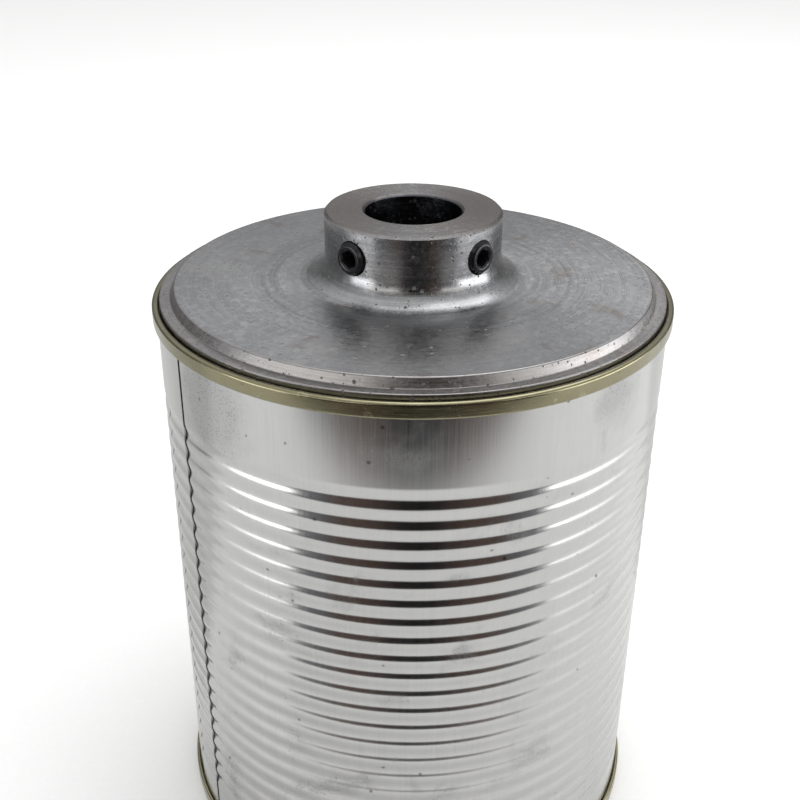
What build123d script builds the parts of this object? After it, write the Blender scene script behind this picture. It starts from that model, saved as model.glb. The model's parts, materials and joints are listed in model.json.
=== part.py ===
from build123d import *
import os
from math import degrees, radians, sqrt, tan

# A beaded three-piece food can with both ends double-seamed, and the steel seaming chuck that sits
# in its top end. Millimetres, +Z up. The origin is the middle of the ring that the can stands on.
# Azimuths are degrees about Z from the front (-Y), positive towards +X. Depths are measured from
# the crest of the nearer double seam, into the can.

# ---- can, overall ----
seam_radius = 51.6           # outside of the double seams
can_height = 119.06          # over both seams
seam_length = 3.0            # height of one double seam

# ---- sheet and seam build-up ----
end_sheet = 0.26             # thickness of the can ends
body_sheet = 0.24            # thickness of the can body
seam_gap = 0.04              # lacquer and compound film between the layers of a seam
crest_bend = 0.58            # bend of the seam's crest, on the outer face
compound_height = 0.26       # sealing compound under the crest
compound_side_gap = 0.12     # compound to the walls beside it
hook_cut_back = 0.39         # body hook's end to the floor of the end's curl
cover_hook_clearance = 0.35  # cover hook's end to the roof of the body's curl
curl_flat = 0.02             # straight stretch at the foot of the end's curl

# ---- beads ----
bead_count = 22
bead_depth = 0.35
groove_width = 1.75
plain_band = 16.7            # top of the can to the first bead
lower_plain_band = 11.06     # last bead to the foot of the can

# ---- side seam ----
side_seam_azimuth = -62.5    # middle of the lapped strip
side_seam_width = 10.6       # along the body's surface
side_seam_rise = 0.12        # how far the strip stands proud of the body
side_seam_end_gap = 0.4      # strip's ends to the double seams

# ---- can ends ----
countersink_depth = 4.2      # crest to the floor of the countersink
countersink_bend = 0.6
countersink_width = 6.81     # middle of the chuck wall to the foot of the outer step
outer_panel_rise = 0.55
outer_panel_width = 11.3     # flat ring between the two panel steps
inner_panel_rise = 0.55
panel_step = 1.1             # radial width of each panel step
panel_bend = 0.5

# ---- seaming chuck ----
bore_radius = 9.525
hub_radius = 17.46
hub_height = 16.15           # above the can's top
ledge_width = 2.08           # flat ring outside the foot of the plate's wall
plate_height = 2.7           # above the can's top
plate_wall_spread = 0.8      # the plate's wall leans out by this much down to the ledge
ledge_height = 0.9           # above the can's top
lip_clearance = 0.10         # lip to the end's chuck wall, at the ledge
lip_taper = 1.2              # degrees, so that the chuck lifts out
lip_foot_break = 0.9         # corner broken off the foot of the lip
lip_foot_width = 4.4         # flat ring that stands on the countersink's floor
relief_lean = 0.6
relief_clearance = 0.5       # underside of the plate to the end's panel
hub_fillet = 5.0
hub_chamfer = 0.5
bore_chamfer = 0.5
plate_round = 0.35
ledge_round = 0.15
foot_round = 0.2

# ---- set screws ----
screw_radius = 3.175
screw_length = 7.94
screw_pitch = 1.27
thread_depth = 0.62
thread_crest = 0.2           # width of a crest along the screw
thread_root = 0.3
screw_hole_clearance = 0.05
screw_height = 10.5          # above the can's top
screw_end_break = 0.475      # corner broken off the outer end
cup_rim_radius = 2.0
cup_radius = 1.6
cup_depth = 0.8
socket_across_flats = 3.175
socket_depth = 3.2
socket_chamfer = 0.25
screw_azimuths = {"left_set_screw": -41.0, "right_set_screw": 47.0}
screw_stand_out = {"left_set_screw": 1.0, "right_set_screw": 0.7}

# ---- radii of the seam's layers, each to the middle of its sheet ----
seam_wall = seam_radius - end_sheet / 2
body_hook = seam_wall - end_sheet / 2 - seam_gap - body_sheet / 2
cover_hook = body_hook - body_sheet / 2 - seam_gap - end_sheet / 2
body_wall = cover_hook - end_sheet / 2 - seam_gap - body_sheet / 2
chuck_wall = body_wall - body_sheet / 2 - seam_gap - end_sheet / 2

# ---- other values worked out ----
bead_pitch = (can_height - plain_band - lower_plain_band) / bead_count
outer_panel_radius = chuck_wall - countersink_width - panel_step
inner_panel_radius = outer_panel_radius - panel_step - outer_panel_width
lip_radius = chuck_wall - end_sheet / 2 - lip_clearance
plate_radius = lip_radius - ledge_width - plate_wall_spread
screw_end_radius = screw_radius - screw_end_break
curl_bend = (body_hook - body_wall) / 2
compound_depth = end_sheet + seam_gap
body_curl_depth = compound_depth + compound_height + seam_gap + body_sheet / 2
body_hook_depth = seam_length - end_sheet - hook_cut_back
panel_rise = outer_panel_rise + inner_panel_rise


def revolved(outline, arc=360):
    """Turn a closed outline, drawn as (radius, height), about the can's axis."""
    return revolve(Plane.XZ * make_face(outline), Axis.Z, arc)


def sheet_face(centre_line, thickness):
    """Section of a bent sheet, given the line along its middle."""
    return make_face(Wire(centre_line).offset_2d(thickness / 2, side=Side.BOTH))


def bead_lines(radius):
    """Middle line of the beaded band, downwards: rounded grooves joined by rounded ribs."""
    rib_width = bead_pitch - groove_width
    flank = radius - bead_depth * rib_width / bead_pitch
    top = can_height - plain_band
    lines = [TangentArc((radius, top), (flank, top - rib_width / 2), tangent=(0, -1))]
    for bead in range(bead_count):
        groove_top = top - rib_width / 2 - bead * bead_pitch
        groove_foot = groove_top - groove_width
        root = (radius - bead_depth, groove_top - groove_width / 2)
        lines.append(ThreePointArc((flank, groove_top), root, (flank, groove_foot)))
        if bead < bead_count - 1:
            crest = (radius, groove_foot - rib_width / 2)
            lines.append(ThreePointArc((flank, groove_foot), crest, (flank, groove_foot - rib_width)))
    foot = top - bead_count * bead_pitch
    lines.append(TangentArc((radius, foot), (flank, foot + rib_width / 2), tangent=(0, 1)))
    return lines


def beaded_line(radius, upper, lower):
    """Wall of the body at one radius: plain band, beads, plain band."""
    bead_top = can_height - plain_band
    bead_foot = bead_top - bead_count * bead_pitch
    lines = [Line((radius, upper), (radius, bead_top))]
    lines += bead_lines(radius)
    lines.append(Line((radius, bead_foot), (radius, lower)))
    return lines


def body_curl(level, inwards):
    """Rim of the body, turned out and over into the body hook; inwards is -1 at the top, 1 below."""
    shoulder = level + inwards * (body_curl_depth + curl_bend)
    crown = (body_wall + curl_bend, level + inwards * body_curl_depth)
    curl = ThreePointArc((body_wall, shoulder), crown, (body_hook, shoulder))
    hook = Line((body_hook, shoulder), (body_hook, level + inwards * body_hook_depth))
    return [curl, hook]


def make_side_seam():
    """Lapped strip of sheet that closes the rolled body, proud of it and beaded with it."""
    upper = can_height - seam_length - side_seam_end_gap
    lower = seam_length + side_seam_end_gap
    outer = body_wall + body_sheet / 2 + side_seam_rise
    lines = beaded_line(outer, upper, lower) + beaded_line(body_wall, upper, lower)
    lines.append(Line((body_wall, upper), (outer, upper)))
    lines.append(Line((body_wall, lower), (outer, lower)))
    arc = degrees(side_seam_width / outer)
    strip = revolved(Wire(lines), arc)
    return Rot(0, 0, side_seam_azimuth - 90 - arc / 2) * strip


def make_can_body():
    """Rolled cylinder with its beads, its side seam and the two rims that the ends hook under."""
    shoulder = body_curl_depth + curl_bend
    lines = body_curl(can_height, -1) + body_curl(0, 1)
    lines += beaded_line(body_wall, can_height - shoulder, shoulder)
    shell = revolve(Plane.XZ * sheet_face(lines, body_sheet), Axis.Z)
    return shell + make_side_seam()


def make_end(level, inwards):
    """One can end: panel, countersink, chuck wall, crest, seam wall and cover hook."""
    middle = end_sheet / 2
    floor = countersink_depth + middle
    outer_panel = floor - outer_panel_rise
    inner_panel = outer_panel - inner_panel_rise
    hook_end = body_curl_depth + body_sheet / 2 + cover_hook_clearance
    crest_middle_bend = crest_bend - middle
    hook_bend = (seam_wall - cover_hook - curl_flat) / 2
    stops = [
        (-panel_step, inner_panel),
        (inner_panel_radius, inner_panel),
        (inner_panel_radius + panel_step, outer_panel),
        (outer_panel_radius, outer_panel),
        (outer_panel_radius + panel_step, floor),
        (chuck_wall, floor),
        (chuck_wall, middle),
        (seam_wall, middle),
        (seam_wall, seam_length - middle),
        (cover_hook, seam_length - middle),
        (cover_hook, hook_end),
    ]
    bends = [panel_bend] * 4 + [countersink_bend] + [crest_middle_bend] * 2 + [hook_bend] * 2
    points = [(radius, level + inwards * depth) for radius, depth in stops]
    section = sheet_face(FilletPolyline(*points, radius=bends), end_sheet)
    beyond_axis = Pos(-seam_radius / 2, level) * Rectangle(seam_radius, 4 * countersink_depth)
    return revolve(Plane.XZ * (section - beyond_axis), Axis.Z)


def make_compound(level, inwards):
    """Ring of sealing compound between the crest of the end and the curl of the body."""
    inner = chuck_wall + end_sheet / 2 + compound_side_gap
    outer = seam_wall - end_sheet / 2 - compound_side_gap
    middle = level + inwards * (compound_depth + compound_height / 2)
    corner = compound_height / 2 - curl_flat / 2
    bead = Pos((inner + outer) / 2, middle) * RectangleRounded(outer - inner, compound_height, corner)
    return revolve(Plane.XZ * bead, Axis.Z)


def make_chuck():
    """Seaming chuck: bored hub, filleted to a plate whose lip fills the end's countersink."""
    foot = can_height - countersink_depth
    underside = foot + panel_rise + relief_clearance
    hub_top = can_height + hub_height
    plate_top = can_height + plate_height
    ledge = can_height + ledge_height
    lip_foot_top = foot + lip_foot_break
    lip_foot_radius = lip_radius - (ledge - lip_foot_top) * tan(radians(lip_taper))
    foot_radius = lip_foot_radius - lip_foot_break
    relief_radius = foot_radius - lip_foot_width
    corners = [
        ((bore_radius, underside + bore_chamfer), 0),
        ((bore_radius, hub_top - bore_chamfer), 0),
        ((bore_radius + bore_chamfer, hub_top), 0),
        ((hub_radius - hub_chamfer, hub_top), 0),
        ((hub_radius, hub_top - hub_chamfer), 0),
        ((hub_radius, plate_top), hub_fillet),
        ((plate_radius, plate_top), plate_round),
        ((plate_radius + plate_wall_spread, ledge), 0),
        ((lip_radius, ledge), ledge_round),
        ((lip_foot_radius, lip_foot_top), foot_round),
        ((foot_radius, foot), foot_round),
        ((relief_radius, foot), foot_round),
        ((relief_radius - relief_lean, underside), 0),
        ((bore_radius + bore_chamfer, underside), 0),
    ]
    points = [point for point, bend in corners]
    bends = [bend for point, bend in corners]
    chuck = revolved(FilletPolyline(*points, radius=bends, close=True))
    for azimuth in screw_azimuths.values():
        hole = Cylinder(screw_radius + screw_hole_clearance, 2 * hub_radius)
        chuck -= on_screw_axis(azimuth, hub_radius) * hole
    return chuck


def on_screw_axis(azimuth, radius):
    """Place on a set screw's axis, at a radius from the can's axis, with +Z pointing outwards."""
    outwards = Vector(0, -1, 0).rotate(Axis.Z, azimuth)
    along_screw = Plane(origin=outwards * radius, z_dir=outwards)
    return Pos(0, 0, can_height + screw_height) * along_screw.location


def make_set_screw(name):
    """Socket set screw with a cup point; its thread is drawn as one ring to each pitch."""
    root = screw_radius - thread_depth
    flank = (screw_pitch - thread_crest - thread_root) / 2
    first_crest = -(screw_radius - screw_end_radius)
    thread_end = -(screw_length - (root - cup_rim_radius))
    outline = [(0, 0), (screw_end_radius, 0), (screw_radius, first_crest)]
    ring_top = first_crest
    while ring_top - screw_pitch > thread_end:
        outline.append((screw_radius, ring_top - thread_crest))
        outline.append((root, ring_top - thread_crest - flank))
        outline.append((root, ring_top - thread_crest - flank - thread_root))
        ring_top -= screw_pitch
        outline.append((screw_radius, ring_top))
    outline.append((screw_radius, ring_top - thread_crest))
    outline.append((root, min(ring_top - thread_crest - flank, thread_end)))
    outline.append((cup_rim_radius, -screw_length))
    outline.append((cup_radius, -screw_length))
    outline.append((0, -screw_length + cup_depth))
    screw = revolved(Polyline(*outline, close=True))

    corner_radius = socket_across_flats / sqrt(3)
    socket = extrude(RegularPolygon(corner_radius, 6), -socket_depth)
    mouth = Pos(0, 0, -socket_chamfer / 2) * Cone(
        corner_radius - socket_chamfer / 2, corner_radius + socket_chamfer / 2, socket_chamfer
    )
    outer_end = hub_radius + screw_stand_out[name]
    return on_screw_axis(screw_azimuths[name], outer_end) * (screw - socket - mouth)


nodes = {
    "can_body": make_can_body(),
    "top_end": make_end(can_height, -1),
    "bottom_end": make_end(0, 1),
    "top_sealing_compound": make_compound(can_height, -1),
    "bottom_sealing_compound": make_compound(0, 1),
    "seaming_chuck": make_chuck(),
    "left_set_screw": make_set_screw("left_set_screw"),
    "right_set_screw": make_set_screw("right_set_screw"),
}
os.makedirs("parts", exist_ok=True)
for node, solid in nodes.items():
    export_step(solid, f"parts/{node}.step")
    print(node, round(solid.volume, 2))
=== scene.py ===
# %% [markdown]
# # A beaded food can with its seaming chuck
# A three-piece tinplate can stands closed. Both ends are gold-lacquered and double-seamed, and a turned
# steel seaming chuck sits in the countersink of the top end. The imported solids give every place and
# size. This file gives the pieces their smooth surfaces and their finish. Everything is in metres.

# %% Load the frame
import bpy
import bmesh
import json
from math import acos, asin, atan2, cos, pi, radians, sin, sqrt, tan
from mathutils import Matrix, Vector
from mathutils.geometry import delaunay_2d_cdt


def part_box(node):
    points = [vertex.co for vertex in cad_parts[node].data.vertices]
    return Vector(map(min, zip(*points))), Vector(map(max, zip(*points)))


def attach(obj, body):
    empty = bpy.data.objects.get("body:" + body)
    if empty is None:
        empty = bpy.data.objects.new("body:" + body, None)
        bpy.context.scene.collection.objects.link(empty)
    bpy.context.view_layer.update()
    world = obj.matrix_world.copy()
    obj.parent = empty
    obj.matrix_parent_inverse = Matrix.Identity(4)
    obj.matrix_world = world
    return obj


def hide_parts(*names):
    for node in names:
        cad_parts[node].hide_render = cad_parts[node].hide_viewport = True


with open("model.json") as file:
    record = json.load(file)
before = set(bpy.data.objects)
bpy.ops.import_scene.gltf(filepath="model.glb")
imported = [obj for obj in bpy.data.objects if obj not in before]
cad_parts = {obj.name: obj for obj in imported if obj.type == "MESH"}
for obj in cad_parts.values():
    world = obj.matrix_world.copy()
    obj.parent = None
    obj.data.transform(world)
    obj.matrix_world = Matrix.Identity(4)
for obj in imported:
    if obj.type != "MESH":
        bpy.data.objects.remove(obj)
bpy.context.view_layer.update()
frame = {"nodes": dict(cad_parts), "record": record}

# %% [markdown]
# The solids carry the sizes that other people's parts must meet, so those are read from the frame: the
# seams' radius, the can's height, the chuck's bore and the screws' axes. The rest are the small sizes
# of a standard can and of a turned chuck, named here once, in millimetres.

# %% Sizes
MM = 0.001
end_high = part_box("top_end")[1]
chuck_low, chuck_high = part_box("seaming_chuck")
mounts = {mount["name"]: mount for mount in frame["record"]["mounts"]}
joints = {joint["name"]: joint for joint in frame["record"]["behaviour"]["joints"]}

seam_radius = end_high[0]
can_top = end_high[2]
seam_length = 3.0 * MM
end_sheet = 0.26 * MM
body_sheet = 0.24 * MM
seam_gap = 0.04 * MM
seam_wall = seam_radius - end_sheet / 2
cover_hook = seam_wall - body_sheet - end_sheet - 2 * seam_gap
body_radius = cover_hook - end_sheet / 2 - seam_gap
chuck_wall = body_radius - body_sheet - seam_gap - end_sheet / 2

bead_count = 22
bead_pitch = 4.15 * MM
bead_depth = 0.35 * MM
plain_band = 16.7 * MM

hub_top = chuck_high[2]
hub_radius = 17.46 * MM
bore_radius = mounts["chuck_bore"]["dims"]["r_mm"] * MM
screw_level = can_top + 10.5 * MM
print("can height", round(can_top / MM, 2), "body radius", round(body_radius / MM, 2))

# %% [markdown]
# ## Helpers for sections
# Sheet metal and turned work are both described by a section: straight stretches with a bend at each
# corner. `bent` rounds the corners of such a section. It also leaves a pair of holding points just
# outside each bend, so that smooth shading stays inside the bend and the flats stay flat.

# %% Bend the corners of a section
HOLD = 0.02 * MM


def bent(stops, bends, steps=6):
    """Points of a section whose inner stops are rounded to the given radii; 0 keeps a corner sharp."""
    line = [Vector(stop) for stop in stops]
    points = [line[0]]
    for before, corner, after, bend in zip(line, line[1:], line[2:], bends):
        if bend == 0:
            points.append(corner)
            continue
        back = (before - corner).normalized()
        on = (after - corner).normalized()
        half = acos(max(-1, min(1, back.dot(on)))) / 2
        reach = bend / tan(half)
        middle = corner + (back + on).normalized() * bend / sin(half)
        start = corner + back * reach - middle
        turn = start.angle_signed(corner + on * reach - middle)
        points.append(corner + back * (reach + HOLD))
        for step in range(steps + 1):
            points.append(middle + Matrix.Rotation(-turn * step / steps, 2) @ start)
        points.append(corner + on * (reach + HOLD))
    points.append(line[-1])
    return points


def thickened(points, thickness):
    """A sheet's outline from the points along its middle: out along one face, back along the other."""
    left = []
    right = []
    for index, point in enumerate(points):
        before = points[max(index - 1, 0)]
        after = points[min(index + 1, len(points) - 1)]
        along = (after - before).normalized()
        across = Vector((-along.y, along.x)) * thickness / 2
        left.append(point + across)
        right.append(point - across)
    return left + right[::-1]


# %% [markdown]
# ## Helpers for meshes
# A lathe turns a section about the can's axis. `add_lathe` puts such a surface into a bmesh, so that
# several of them, and other patches, can be joined into one closed skin. `finished` merges the doubles,
# turns the faces outwards, keeps true corners sharp and registers the piece with its body.

# %% Lathe and finish
AROUND = 192


def ring_point(radius, azimuth, height):
    """A point at an azimuth from the front (-Y), positive towards +X."""
    return Vector((radius * sin(azimuth), -radius * cos(azimuth), height))


def add_lathe(skin, section, around=AROUND):
    """Turn a list of (radius, height) points about Z."""
    rings = []
    for radius, height in section:
        if radius < 1e-7:
            rings.append([skin.verts.new((0, 0, height))] * around)
        else:
            azimuths = [2 * pi * k / around for k in range(around)]
            rings.append([skin.verts.new(ring_point(radius, azimuth, height)) for azimuth in azimuths])
    for low, high in zip(rings, rings[1:]):
        for k in range(around):
            corners = [low[k], low[(k + 1) % around], high[(k + 1) % around], high[k]]
            distinct = list(dict.fromkeys(corners))
            if len(distinct) > 2:
                skin.faces.new(distinct)


def finished(name, skin, material, body, replaced=(), corner=38):
    """Close a skin, make an object of it and register it with its body and material slot."""
    bmesh.ops.remove_doubles(skin, verts=skin.verts, dist=1e-7)
    bmesh.ops.dissolve_degenerate(skin, edges=skin.edges, dist=1e-8)
    bmesh.ops.holes_fill(skin, edges=skin.edges, sides=0)
    bmesh.ops.recalc_face_normals(skin, faces=skin.faces)
    open_edges = sum(1 for edge in skin.edges if not edge.is_manifold)
    mesh = bpy.data.meshes.new(name)
    skin.to_mesh(mesh)
    skin.free()
    mesh.shade_smooth()
    mesh.set_sharp_from_angle(angle=radians(corner))
    mesh.materials.clear()
    mesh.materials.append(material)
    piece = bpy.data.objects.new(name, mesh)
    bpy.context.scene.collection.objects.link(piece)
    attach(piece, body)
    if replaced:
        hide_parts(*replaced)
    print(name, len(mesh.polygons), "faces,", open_edges, "open edges")


# %% [markdown]
# ## Helpers for node trees
# The same few moves build every tree: add a node with some of its settings, wire sockets together, and
# do a sum. `Tree` keeps them short, for geometry and for shaders alike.

# %% Node trees
class Tree:
    """A node tree, with short calls for adding nodes and wiring them."""

    def __init__(self, tree):
        self.nodes = tree.nodes
        self.links = tree.links

    def add(self, kind, inputs=None, **settings):
        node = self.nodes.new(kind)
        for name, value in settings.items():
            setattr(node, name, value)
        for socket, value in (inputs or {}).items():
            self.feed(node.inputs[socket], value)
        return node

    def feed(self, socket, value):
        if isinstance(value, bpy.types.NodeSocket):
            self.links.new(value, socket)
        else:
            socket.default_value = value

    def sum(self, operation, *values):
        """One Math node; the commonest operations have short names below."""
        node = self.nodes.new("ShaderNodeMath")
        node.operation = operation
        for socket, value in zip(node.inputs, values):
            self.feed(socket, value)
        return node.outputs[0]

    def times(self, first, second):
        return self.sum("MULTIPLY", first, second)

    def scaled(self, value, factor, start):
        """value x factor + start."""
        return self.sum("MULTIPLY_ADD", value, factor, start)

    def plus(self, first, second):
        return self.sum("ADD", first, second)

    def minus(self, first, second):
        return self.sum("SUBTRACT", first, second)

    def over(self, first, second):
        return self.sum("DIVIDE", first, second)

    def most(self, first, second):
        return self.sum("MAXIMUM", first, second)

    def least(self, first, second):
        return self.sum("MINIMUM", first, second)

    def here(self):
        """The place on the piece, in the row's frame: every finished piece sits at the origin."""
        return self.add("ShaderNodeTexCoord").outputs["Object"]

    def apart(self, vector):
        """The X, Y and Z of a vector."""
        return self.add("ShaderNodeSeparateXYZ", {0: vector}).outputs

    def vector(self, x, y, z):
        return self.add("ShaderNodeCombineXYZ", {0: x, 1: y, 2: z}).outputs[0]

    def span(self, value, low, high, to_low=0.0, to_high=1.0, smooth=False):
        """Map a value from one span to another, clamped."""
        settings = {"interpolation_type": "SMOOTHSTEP"} if smooth else {}
        inputs = {0: value, 1: low, 2: high, 3: to_low, 4: to_high}
        return self.add("ShaderNodeMapRange", inputs, **settings).outputs[0]


def new_group(name, kind, inputs, outputs):
    """An empty node group with named sockets: name and default, or name and kind where it has none."""
    group = bpy.data.node_groups.new(name, kind)
    for label, default in inputs.items():
        socket_kind = {float: "Float", int: "Int"}.get(type(default), default)
        socket = group.interface.new_socket(label, in_out="INPUT", socket_type="NodeSocket" + socket_kind)
        if socket_kind != default:
            socket.default_value = default
    for label, socket_kind in outputs.items():
        group.interface.new_socket(label, in_out="OUTPUT", socket_type="NodeSocket" + socket_kind)
    tree = Tree(group)
    return group, tree, tree.add("NodeGroupInput").outputs, tree.add("NodeGroupOutput").inputs

# %% [markdown]
# ## Finishes
# Five finishes cover the object: bright tinplate, gold lacquer, turned steel, black oxide and sealing
# compound. They share three effects, each built once as a node group that gives out masks and values:
# blotches (soft patches of wear, handling marks or stain), specks (small round pits and dirt) and
# rolling grain (fine lines along or round the can).

# %% Shared effects
def make_blotches():
    """Soft-edged patches: noise, warped a little, cut at a threshold."""
    group, tree, given, result = new_group(
        "Blotches",
        "ShaderNodeTree",
        {
            "Vector": "Vector",
            "Size per metre": 60.0,
            "Cut": 0.55,
            "Softness": 0.1,
            "Seed": 0.0,
        },
        {"Mask": "Float", "Value": "Float"},
    )
    noise = tree.add(
        "ShaderNodeTexNoise",
        {
            "Vector": given["Vector"],
            "W": given["Seed"],
            "Scale": given["Size per metre"],
            "Detail": 6.0,
            "Roughness": 0.62,
            "Distortion": 0.6,
        },
        noise_dimensions="4D",
    )
    value = noise.outputs[0]
    high = tree.plus(given["Cut"], given["Softness"])
    tree.feed(result["Mask"], tree.span(value, given["Cut"], high, smooth=True))
    tree.feed(result["Value"], value)
    return group


def make_specks():
    """Small round spots of varied size, few and far between: the cells of a Voronoi pattern."""
    group, tree, given, result = new_group(
        "Specks",
        "ShaderNodeTree",
        {
            "Vector": "Vector",
            "Cells per metre": 300.0,
            "Radius": 0.2,
            "Share": 0.3,
        },
        {"Mask": "Float"},
    )
    cells = tree.add(
        "ShaderNodeTexVoronoi",
        {"Vector": given["Vector"], "Scale": given["Cells per metre"], "Randomness": 1.0},
    )
    dice = tree.add("ShaderNodeSeparateColor", {0: cells.outputs["Color"]}).outputs
    size = tree.times(given["Radius"], tree.scaled(dice[1], 0.7, 0.3))
    distance = tree.over(cells.outputs["Distance"], size)
    spot = tree.span(distance, 0.5, 1.0, 1.0, 0.0, smooth=True)
    chosen = tree.sum("LESS_THAN", dice[0], given["Share"])
    tree.feed(result["Mask"], tree.times(spot, chosen))
    return group


def make_round_grain():
    """Fine lines in cylindrical coordinates: long one way, short the other."""
    group, tree, given, result = new_group(
        "Rolling grain",
        "ShaderNodeTree",
        {
            "Lines round": 900.0,
            "Lines up per metre": 30.0,
            "Lines out per metre": 0.0,
            "Detail": 3.0,
        },
        {"Value": "Float", "Radius": "Float", "Cylinder": "Vector"},
    )
    here = tree.here()
    part = tree.apart(here)
    flat = tree.vector(part[0], part[1], 0.0)
    radius = tree.add("ShaderNodeVectorMath", {0: flat}, operation="LENGTH").outputs["Value"]
    unit = tree.add("ShaderNodeVectorMath", {0: flat}, operation="NORMALIZE").outputs[0]
    direction = tree.apart(unit)
    turn = tree.over(given["Lines round"], 2 * pi)
    up = tree.times(part[2], given["Lines up per metre"])
    lines = tree.vector(tree.times(direction[0], turn), tree.times(direction[1], turn), up)
    outward = tree.times(radius, given["Lines out per metre"])
    noise = tree.add(
        "ShaderNodeTexNoise",
        {"Vector": lines, "W": outward, "Scale": 1.0, "Detail": given["Detail"], "Roughness": 0.6},
        noise_dimensions="4D",
    )
    tree.feed(result["Value"], noise.outputs[0])
    tree.feed(result["Radius"], radius)
    tree.feed(result["Cylinder"], tree.vector(direction[0], direction[1], part[2]))
    return group


blotches = make_blotches()
specks = make_specks()
round_grain = make_round_grain()
print("shared effects:", blotches.name, specks.name, round_grain.name)

# %% Material helpers
def new_material(name):
    material = bpy.data.materials.new(name)
    material.use_nodes = True
    material.node_tree.nodes.clear()
    tree = Tree(material.node_tree)
    shader = tree.add("ShaderNodeBsdfPrincipled")
    output = tree.add("ShaderNodeOutputMaterial")
    tree.feed(output.inputs["Surface"], shader.outputs[0])
    return material, tree, shader.inputs


def effect(tree, group, values):
    """Place a shared effect in a material with its own values."""
    node = tree.add("ShaderNodeGroup", node_tree=group)
    for name, value in values.items():
        tree.feed(node.inputs[name], value)
    return node.outputs


def patches(tree, here, size, cut, softness, seed):
    """Blotches of about this many to the metre; a higher cut leaves fewer of them."""
    values = {"Vector": here, "Size per metre": size, "Cut": cut, "Softness": softness, "Seed": seed}
    return effect(tree, blotches, values)


def spots(tree, here, cells, radius, share):
    """Specks: cells to the metre, radius as a part of a cell, and the share of cells that have one."""
    return effect(tree, specks, {"Vector": here, "Cells per metre": cells, "Radius": radius, "Share": share})


def blend(tree, mask, first, second):
    """Mix two colours, or a socket and a colour, by a mask."""
    node = tree.add("ShaderNodeMix", data_type="RGBA")
    tree.feed(node.inputs[0], mask)
    tree.feed(node.inputs[6], first)
    tree.feed(node.inputs[7], second)
    return node.outputs[2]


def bumped(tree, height, distance, strength=1.0, under=None):
    node = tree.add("ShaderNodeBump", {"Height": height, "Distance": distance, "Strength": strength})
    if under is not None:
        tree.feed(node.inputs["Normal"], under)
    return node.outputs[0]


# %% [markdown]
# ### Tinplate
# Steel sheet with a bright tin coating. It mirrors its surroundings a little blurred. Up the wall run
# fine grain lines from rolling. Handling leaves grey smudges, two thumb marks that hold fine dust, and
# small dark specks. Both edges of the side seam are dark lines, wider where they cross a bead. Each is a
# mask that picks between two colours, so one material can cover the wall and the seam alike.

# %% Dark edges of the side seam
seam_azimuth = radians(-62.5)
seam_half_arc = radians(5.95)
seam_edge = radians(0.34)
seam_edge_in_beads = radians(0.9)


def seam_edges(tree, here):
    """Mask of the dark lines along both edges of the side seam."""
    part = tree.apart(here)
    azimuth = tree.sum("ARCTAN2", part[0], tree.times(part[1], -1.0))
    off_seam = tree.sum("ABSOLUTE", tree.minus(azimuth, seam_azimuth))
    off_edge = tree.sum("ABSOLUTE", tree.minus(off_seam, seam_half_arc))
    bead = tree.over(tree.minus(can_top - plain_band, part[2]), bead_pitch)
    swing = tree.sum("ABSOLUTE", tree.scaled(tree.sum("FRACT", bead), 2.0, -1.0))
    above_last = tree.span(bead, bead_count - 0.1, bead_count, 1.0, 0.0)
    on_beads = tree.times(tree.span(bead, 0.0, 0.1), above_last)
    wide = tree.times(tree.minus(1.0, swing), on_beads)
    half_width = tree.scaled(wide, seam_edge_in_beads, seam_edge)
    return tree.span(tree.over(off_edge, half_width), 0.7, 1.1, 1.0, 0.0)


# %% Tinplate
thumb_marks = [((-0.036, -0.036, 0.109), 0.011), ((0.0365, -0.035, 0.1135), 0.009)]
THUMB_RAGGED = 0.02


def make_tinplate():
    material, tree, shader = new_material("tinplate")
    here = tree.here()
    grain = effect(tree, round_grain, {"Lines round": 1500.0, "Lines up per metre": 60.0, "Detail": 4.0})
    smudge = patches(tree, here, 70.0, 0.56, 0.16, 3.0)
    cloud = patches(tree, here, 22.0, 0.45, 0.3, 8.0)
    dirt = spots(tree, here, 420.0, 0.22, 0.16)
    dust = spots(tree, here, 2400.0, 0.5, 0.7)
    streaks = tree.span(grain["Value"], 0.3, 0.7)
    bright = blend(tree, streaks, (0.44, 0.438, 0.43, 1), (0.505, 0.505, 0.495, 1))
    handled = smudge["Mask"]
    for place, reach in thumb_marks:
        away = tree.add("ShaderNodeVectorMath", {0: here, 1: place}, operation="DISTANCE")
        ragged = tree.scaled(smudge["Value"], THUMB_RAGGED, away.outputs["Value"])
        inside, outside = 0.4 * reach + THUMB_RAGGED / 2, reach + THUMB_RAGGED / 2
        handled = tree.most(handled, tree.span(ragged, inside, outside, 1.0, 0.0))
    dulled = blend(tree, tree.times(handled, 0.45), bright, (0.26, 0.26, 0.265, 1))
    clouded = blend(tree, tree.times(cloud["Mask"], 0.25), dulled, (0.38, 0.385, 0.39, 1))
    dusty = tree.times(dust["Mask"], tree.scaled(handled, 0.55, 0.04))
    marks = tree.most(tree.times(dirt["Mask"], 0.7), dusty)
    dirty = blend(tree, marks, clouded, (0.10, 0.095, 0.09, 1))
    edged = blend(tree, tree.times(seam_edges(tree, here), 0.9), dirty, (0.045, 0.05, 0.056, 1))
    tree.feed(shader["Base Color"], edged)
    shader["Metallic"].default_value = 1.0
    rough = tree.scaled(tree.span(grain["Value"], 0.3, 0.7), 0.05, 0.17)
    tree.feed(shader["Roughness"], tree.scaled(smudge["Mask"], 0.12, rough))
    tree.feed(shader["Normal"], bumped(tree, grain["Value"], 0.014 * MM, 0.3))
    return material


tinplate = make_tinplate()
print("made", tinplate.name)

# %% [markdown]
# ### Gold lacquer
# The ends are the same tinplate under a thin baked lacquer, which turns the metal olive gold. The rolls
# of the seamer rub the crest, so the lacquer there is paler in patches and finely scratched along the
# rim.

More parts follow.
